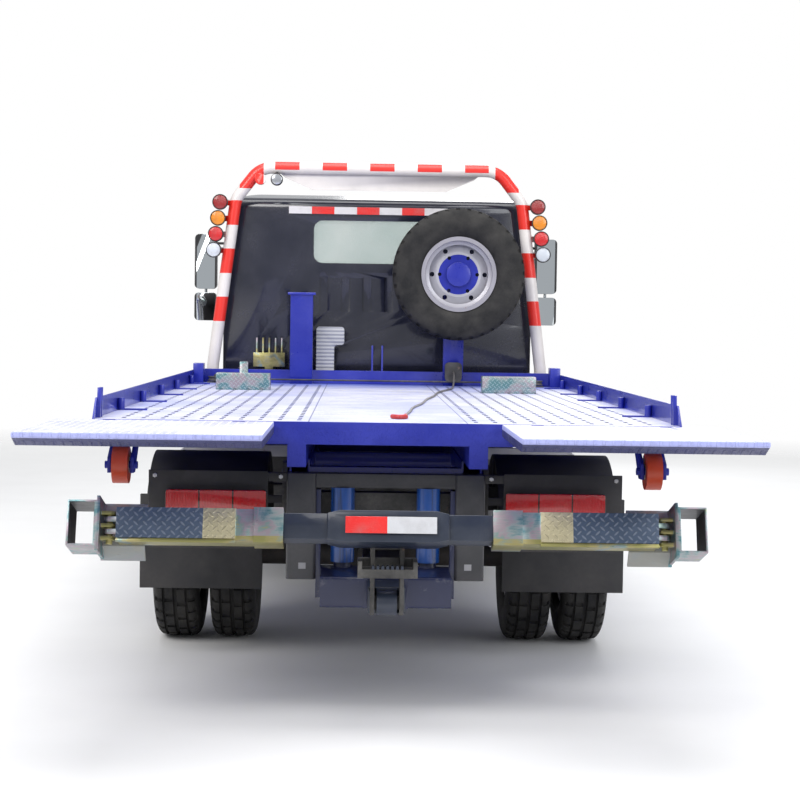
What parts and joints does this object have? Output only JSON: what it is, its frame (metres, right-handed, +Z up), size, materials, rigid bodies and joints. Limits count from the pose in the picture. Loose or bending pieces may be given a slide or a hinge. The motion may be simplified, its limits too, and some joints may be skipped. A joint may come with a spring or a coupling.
{
  "type": "flatbed tow truck",
  "caption": "Cab-over flatbed recovery truck with a tilting, sliding deck, fold-up rear ramps, a rear wheel-lift with a crossbar and end brackets, and an upright spare wheel.",
  "frame": {"origin": "centre of the truck's outline on the ground, with the ramps out level and the mirrors unfolded", "axes": "+Y forward along the truck, from the ramps' tips to the bumper; +X to the truck's right; +Z up"},
  "size_m": [2.47, 6.825, 2.405],
  "materials": {
    "cobalt_paint": "gloss",
    "deck_paint": "worn satin",
    "ramp_paint": "worn satin",
    "chassis_black": "satin",
    "slate_paint": "satin",
    "azure_paint": "gloss",
    "navy_paint": "satin",
    "zinc_plate": "iridescent",
    "cab_paint": "gloss",
    "window_glass": "clear",
    "tyre_rubber": "matte",
    "wheel_silver": "satin",
    "gantry_paint": "gloss",
    "duct_grey": "satin",
    "lamp_plastic": "clear",
    "black_plastic": "satin",
    "cast_black": "rough",
    "seat_cloth": "woven",
    "caster_red": "satin",
    "rope_steel": "stranded",
    "hook_red": "gloss",
    "guard_white": "gloss",
    "bright_steel": "polished"
  },
  "bodies": {
    "chassis": {"chassis_frame": "chassis_black", "front_axle": "cast_black", "rear_axle": "cast_black", "engine": "cast_black", "fuel_tank": "chassis_black", "tool_box": "chassis_black", "front_bumper": "cab_paint", "side_guards": "guard_white", "rear_mudguards": "black_plastic", "rear_lamps": "lamp_plastic", "light_gantry": "gantry_paint", "intake_duct": "duct_grey", "valve_block": "zinc_plate", "lift_frame": "chassis_black", "lift_cylinders": "azure_paint"},
    "knuckle_left": {"knuckle_left": "cast_black"},
    "knuckle_right": {"knuckle_right": "cast_black"},
    "front_wheel_left": {"front_rim_left": "wheel_silver", "front_tyre_left": "tyre_rubber"},
    "front_wheel_right": {"front_rim_right": "wheel_silver", "front_tyre_right": "tyre_rubber"},
    "rear_wheels_left": {"rear_rims_left": "wheel_silver", "rear_tyres_left": "tyre_rubber"},
    "rear_wheels_right": {"rear_rims_right": "wheel_silver", "rear_tyres_right": "tyre_rubber"},
    "tilt_frame": {"tilt_frame": "cobalt_paint"},
    "tilt_barrels": {"tilt_barrels": "azure_paint"},
    "tilt_rods": {"tilt_rods": "bright_steel"},
    "bed": {"deck": "deck_paint", "side_rails": "cobalt_paint", "headboard": "cobalt_paint", "spare_rim": "wheel_silver", "spare_tyre": "tyre_rubber", "wheel_stops": "zinc_plate", "winch": "cast_black", "winch_rope": "rope_steel", "tow_hook": "hook_red"},
    "ramp_left": {"ramp_left": "ramp_paint"},
    "ramp_right": {"ramp_right": "ramp_paint"},
    "caster_left": {"caster_wheel_left": "caster_red"},
    "caster_right": {"caster_wheel_right": "caster_red"},
    "lift_carriage": {"lift_carriage": "navy_paint"},
    "inner_boom": {"inner_boom": "navy_paint"},
    "fold_arm": {"fold_arm": "slate_paint"},
    "crossbar": {"crossbar": "slate_paint"},
    "arm_left": {"arm_left": "zinc_plate"},
    "arm_right": {"arm_right": "zinc_plate"},
    "bracket_left": {"bracket_left": "zinc_plate"},
    "bracket_right": {"bracket_right": "zinc_plate"},
    "cab": {"cab_shell": "cab_paint", "cab_glass": "window_glass", "seats": "seat_cloth", "mirrors": "black_plastic", "headlamps": "lamp_plastic"},
    "door_left": {"door_left": "cab_paint", "door_glass_left": "window_glass"},
    "door_right": {"door_right": "cab_paint", "door_glass_right": "window_glass"},
    "steering_wheel": {"steering_wheel": "black_plastic"}
  },
  "joints": [
    {"name": "steer_left", "type": "hinge", "parent": "chassis", "child": "knuckle_left", "pos_m": [-0.59, 2.3625, 0.39], "axis": [0, 0, 1], "range_deg": [-33, 33]},
    {"name": "front_spin_left", "type": "hinge", "parent": "knuckle_left", "child": "front_wheel_left", "pos_m": [-0.75, 2.3625, 0.39], "axis": [1, 0, 0], "continuous": true},
    {"name": "rear_spin_left", "type": "hinge", "parent": "chassis", "child": "rear_wheels_left", "pos_m": [-0.7825, -0.9975, 0.39], "axis": [1, 0, 0], "continuous": true},
    {"name": "steer_right", "type": "hinge", "parent": "chassis", "child": "knuckle_right", "pos_m": [0.59, 2.3625, 0.39], "axis": [0, 0, 1], "range_deg": [-33, 33]},
    {"name": "front_spin_right", "type": "hinge", "parent": "knuckle_right", "child": "front_wheel_right", "pos_m": [0.75, 2.3625, 0.39], "axis": [1, 0, 0], "continuous": true},
    {"name": "rear_spin_right", "type": "hinge", "parent": "chassis", "child": "rear_wheels_right", "pos_m": [0.7825, -0.9975, 0.39], "axis": [1, 0, 0], "continuous": true},
    {"name": "bed_tilt", "type": "hinge", "parent": "chassis", "child": "tilt_frame", "pos_m": [0, -2.1, 0.835], "axis": [1, 0, 0], "range_deg": [0, 12]},
    {"name": "ram_swing", "type": "hinge", "parent": "chassis", "child": "tilt_barrels", "pos_m": [0, -0.62, 0.64], "axis": [1, 0, 0], "range_deg": [0, 24.1]},
    {"name": "ram_stroke", "type": "slide", "parent": "tilt_barrels", "child": "tilt_rods", "axis": [0, 0.987, 0.1606], "range_m": [0, 0.141]},
    {"name": "bed_slide", "type": "slide", "parent": "tilt_frame", "child": "bed", "axis": [0, -1, 0], "range_m": [0, 2.6]},
    {"name": "ramp_fold_left", "type": "hinge", "parent": "bed", "child": "ramp_left", "pos_m": [-0.83, -2.5775, 1.047], "axis": [-1, 0, 0], "range_deg": [-12, 95]},
    {"name": "caster_spin_left", "type": "hinge", "parent": "bed", "child": "caster_left", "pos_m": [-0.982, -2.6095, 0.905], "axis": [1, 0, 0], "continuous": true},
    {"name": "ramp_fold_right", "type": "hinge", "parent": "bed", "child": "ramp_right", "pos_m": [0.83, -2.5775, 1.047], "axis": [-1, 0, 0], "range_deg": [-12, 95]},
    {"name": "caster_spin_right", "type": "hinge", "parent": "bed", "child": "caster_right", "pos_m": [0.982, -2.6095, 0.905], "axis": [1, 0, 0], "continuous": true},
    {"name": "lift_lower", "type": "slide", "parent": "chassis", "child": "lift_carriage", "axis": [0, 0, -1], "range_m": [0, 0.2]},
    {"name": "boom_extend", "type": "slide", "parent": "lift_carriage", "child": "inner_boom", "axis": [0, -1, 0], "range_m": [0, 0.45]},
    {"name": "boom_fold", "type": "hinge", "parent": "inner_boom", "child": "fold_arm", "pos_m": [0, -2.7695, 0.43], "axis": [1, 0, 0], "range_deg": [0, 90]},
    {"name": "crossbar_swing", "type": "hinge", "parent": "fold_arm", "child": "crossbar", "pos_m": [0, -2.8495, 0.705], "axis": [0, -0.9511, 0.309], "range_deg": [-6, 6]},
    {"name": "arm_slide_left", "type": "slide", "parent": "crossbar", "child": "arm_left", "axis": [-1, 0, 0], "range_m": [0, 0.15]},
    {"name": "bracket_swing_left", "type": "hinge", "parent": "arm_left", "child": "bracket_left", "pos_m": [-0.99, -2.8495, 0.705], "axis": [0, 0.309, 0.9511], "range_deg": [0, 45]},
    {"name": "arm_slide_right", "type": "slide", "parent": "crossbar", "child": "arm_right", "axis": [1, 0, 0], "range_m": [0, 0.15]},
    {"name": "bracket_swing_right", "type": "hinge", "parent": "arm_right", "child": "bracket_right", "pos_m": [0.99, -2.8495, 0.705], "axis": [0, -0.309, -0.9511], "range_deg": [0, 45]},
    {"name": "cab_tilt", "type": "hinge", "parent": "chassis", "child": "cab", "pos_m": [0, 3.2905, 0.76], "axis": [-1, 0, 0], "range_deg": [0, 45]},
    {"name": "door_swing_left", "type": "hinge", "parent": "cab", "child": "door_left", "pos_m": [-0.94, 2.9445, 1.45], "axis": [0, 0, -1], "range_deg": [0, 70]},
    {"name": "door_swing_right", "type": "hinge", "parent": "cab", "child": "door_right", "pos_m": [0.94, 2.9445, 1.45], "axis": [0, 0, 1], "range_deg": [0, 70]},
    {"name": "steering_turn", "type": "hinge", "parent": "cab", "child": "steering_wheel", "pos_m": [-0.48, 2.94344, 1.50957], "axis": [0, -0.4695, 0.8829], "range_deg": [-530, 530]}
  ],
  "couplings": [
    {"joint": "steer_right", "follows": "steer_left", "ratio": 1},
    {"joint": "steering_turn", "follows": "steer_left", "ratio": 16},
    {"joint": "ram_swing", "follows": "bed_tilt", "ratio": 1.995},
    {"joint": "ram_stroke", "follows": "bed_tilt", "m_per_rad": 0.668}
  ]
}
